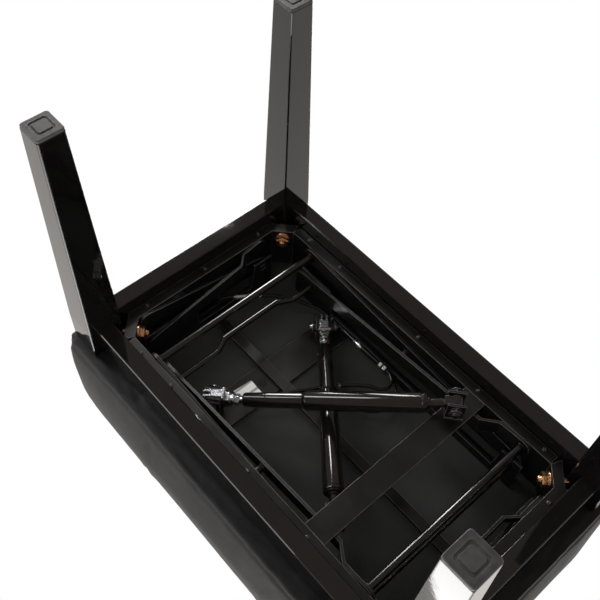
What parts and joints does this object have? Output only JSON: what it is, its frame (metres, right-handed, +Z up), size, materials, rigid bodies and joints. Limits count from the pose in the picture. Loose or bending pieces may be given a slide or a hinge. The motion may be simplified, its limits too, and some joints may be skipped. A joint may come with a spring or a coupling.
{
  "type": "piano bench",
  "caption": "Height-adjustable padded bench on tapered black legs, raised by scissor arms and a crossed pair of lockable gas springs with a release lever.",
  "frame": {"origin": "on the floor, midway between the four feet", "axes": "+Z up, +X along the long side away from the release lever, +Y across the bench"},
  "size_m": [0.62, 0.414, 0.482],
  "materials": {
    "black_lacquer": "mirror-polished black lacquer",
    "black_steel": "satin black paint",
    "nylon_glide": "matte grey",
    "yellow_zinc": "yellow-passivated zinc",
    "bright_zinc": "bright zinc plate",
    "chrome_rod": "ground and chromed",
    "plywood": "bare plywood",
    "black_vinyl": "soft black vinyl over foam",
    "cambric": "black woven cambric",
    "cable_sheath": "smooth black cable sheath"
  },
  "bodies": {
    "base": {"apron_back": "black_lacquer", "apron_front": "black_lacquer", "apron_left": "black_lacquer", "apron_right": "black_lacquer", "frame_rail_back": "black_steel", "frame_rail_front": "black_steel", "frame_rail_left": "black_steel", "frame_rail_right": "black_steel", "glide_back_left": "nylon_glide", "glide_back_right": "nylon_glide", "glide_front_left": "nylon_glide", "glide_front_right": "nylon_glide", "leg_back_left": "black_lacquer", "leg_back_right": "black_lacquer", "leg_bolt_back_left": "yellow_zinc", "leg_bolt_back_right": "yellow_zinc", "leg_bolt_front_left": "yellow_zinc", "leg_bolt_front_right": "yellow_zinc", "leg_front_left": "black_lacquer", "leg_front_right": "black_lacquer", "lower_spring_clevis": "black_steel", "spring_cross_plate": "black_steel", "upper_spring_clevis": "black_steel"},
    "lifting_arms": {"lifting_arm_front": "black_steel", "lifting_arm_back": "black_steel", "pivot_rod": "black_steel", "cranked_tie_bar": "black_steel"},
    "sliding_arms": {"sliding_arm_front": "black_steel", "sliding_arm_back": "black_steel", "sliding_rod": "black_steel", "seat_pivot_rod": "black_steel"},
    "seat": {"seat_board": "plywood", "seat_rail_front": "plywood", "seat_rail_back": "plywood", "seat_rail_right": "plywood", "seat_rail_left": "plywood", "cushion": "black_vinyl", "dust_cover": "cambric", "seat_spine": "black_steel", "head_cross_plate": "black_steel", "seat_track_front": "black_steel", "seat_track_back": "black_steel", "end_track_left": "black_steel", "end_track_right": "black_steel", "lever_bracket": "black_steel", "release_cable": "cable_sheath", "branch_cable": "cable_sheath"},
    "short_lifting_left": {"short_lifting_arm_left": "black_steel"},
    "short_sliding_left": {"short_sliding_arm_left": "black_steel"},
    "short_lifting_right": {"short_lifting_arm_right": "black_steel"},
    "short_sliding_right": {"short_sliding_arm_right": "black_steel"},
    "lower_spring_body": {"lower_cylinder": "black_steel"},
    "lower_spring_rod": {"lower_piston_rod": "chrome_rod", "lower_release_head": "bright_zinc"},
    "lower_spring_trigger": {"lower_trigger": "bright_zinc"},
    "upper_spring_body": {"upper_cylinder": "black_steel"},
    "upper_spring_rod": {"upper_piston_rod": "chrome_rod", "upper_release_head": "bright_zinc"},
    "upper_spring_trigger": {"upper_trigger": "bright_zinc"},
    "lever": {"release_lever": "black_steel"}
  },
  "joints": [
    {"name": "seat_lift", "type": "hinge", "parent": "base", "child": "lifting_arms", "pos_m": [0.187, 0, 0.345], "axis": [0, 1, 0], "range_deg": [0, 15.89]},
    {"name": "scissor_cross", "type": "hinge", "parent": "lifting_arms", "child": "sliding_arms", "pos_m": [0.00187, 0, 0.363], "axis": [0, 1, 0], "range_deg": [-31.85, 0]},
    {"name": "seat_level", "type": "hinge", "parent": "sliding_arms", "child": "seat", "pos_m": [0.187, 0, 0.381], "axis": [0, 1, 0], "range_deg": [0, 15.93]},
    {"name": "short_lift_left", "type": "hinge", "parent": "base", "child": "short_lifting_left", "pos_m": [-0.236, -0.085, 0.345], "axis": [1, 0, 0], "range_deg": [0, 34.87]},
    {"name": "short_cross_left", "type": "hinge", "parent": "short_lifting_left", "child": "short_sliding_left", "pos_m": [-0.236, 0.00828, 0.363], "axis": [1, 0, 0], "range_deg": [-69.72, 0]},
    {"name": "short_lift_right", "type": "hinge", "parent": "base", "child": "short_lifting_right", "pos_m": [0.236, -0.085, 0.345], "axis": [1, 0, 0], "range_deg": [0, 34.87]},
    {"name": "short_cross_right", "type": "hinge", "parent": "short_lifting_right", "child": "short_sliding_right", "pos_m": [0.236, 0.00828, 0.363], "axis": [1, 0, 0], "range_deg": [-69.72, 0]},
    {"name": "lower_spring_tilt", "type": "hinge", "parent": "base", "child": "lower_spring_body", "pos_m": [0.105, -0.095, 0.315], "axis": [0.6505, 0.7595, 0], "range_deg": [0, 16.51]},
    {"name": "lower_spring_stroke", "type": "slide", "parent": "lower_spring_body", "child": "lower_spring_rod", "axis": [-0.7359, 0.6303, 0.2475], "range_m": [0, 0.03886]},
    {"name": "upper_spring_tilt", "type": "hinge", "parent": "base", "child": "upper_spring_body", "pos_m": [0.105, 0.095, 0.362], "axis": [-0.6505, 0.7595, 0], "range_deg": [0, 17.44]},
    {"name": "upper_spring_stroke", "type": "slide", "parent": "upper_spring_body", "child": "upper_spring_rod", "axis": [-0.7487, -0.6413, 0.1679], "range_m": [0, 0.03194]},
    {"name": "lever_press", "type": "hinge", "parent": "seat", "child": "lever", "pos_m": [-0.26, 0, 0.404], "axis": [0, -1, 0], "range_deg": [0, 12], "stiffness_Nm_per_rad": 0.6, "springref_deg": -6.88},
    {"name": "lower_trigger_swing", "type": "hinge", "parent": "lower_spring_rod", "child": "lower_spring_trigger", "pos_m": [-0.10753, 0.08703, 0.37125], "axis": [-0.6505, -0.7595, 0], "range_deg": [0, 8.05]},
    {"name": "upper_trigger_swing", "type": "hinge", "parent": "upper_spring_rod", "child": "upper_spring_trigger", "pos_m": [-0.1064, -0.08607, 0.39444], "axis": [0.6505, -0.7595, 0], "range_deg": [0, 8.05]}
  ],
  "couplings": [
    {"joint": "scissor_cross", "follows": "seat_lift", "ratio": -2},
    {"joint": "seat_level", "follows": "seat_lift", "ratio": 1},
    {"joint": "short_lift_left", "follows": "seat_lift", "ratio": 2.1891},
    {"joint": "short_cross_left", "follows": "seat_lift", "ratio": -4.3782},
    {"joint": "short_lift_right", "follows": "seat_lift", "ratio": 2.1891},
    {"joint": "short_cross_right", "follows": "seat_lift", "ratio": -4.3782},
    {"joint": "lower_spring_tilt", "follows": "seat_lift", "ratio": 1.0363},
    {"joint": "lower_spring_stroke", "follows": "seat_lift", "m_per_rad": 0.13979},
    {"joint": "upper_spring_tilt", "follows": "seat_lift", "ratio": 1.0948},
    {"joint": "upper_spring_stroke", "follows": "seat_lift", "m_per_rad": 0.11491},
    {"joint": "lower_trigger_swing", "follows": "lever_press", "ratio": 0.66667},
    {"joint": "upper_trigger_swing", "follows": "lever_press", "ratio": 0.66667}
  ]
}
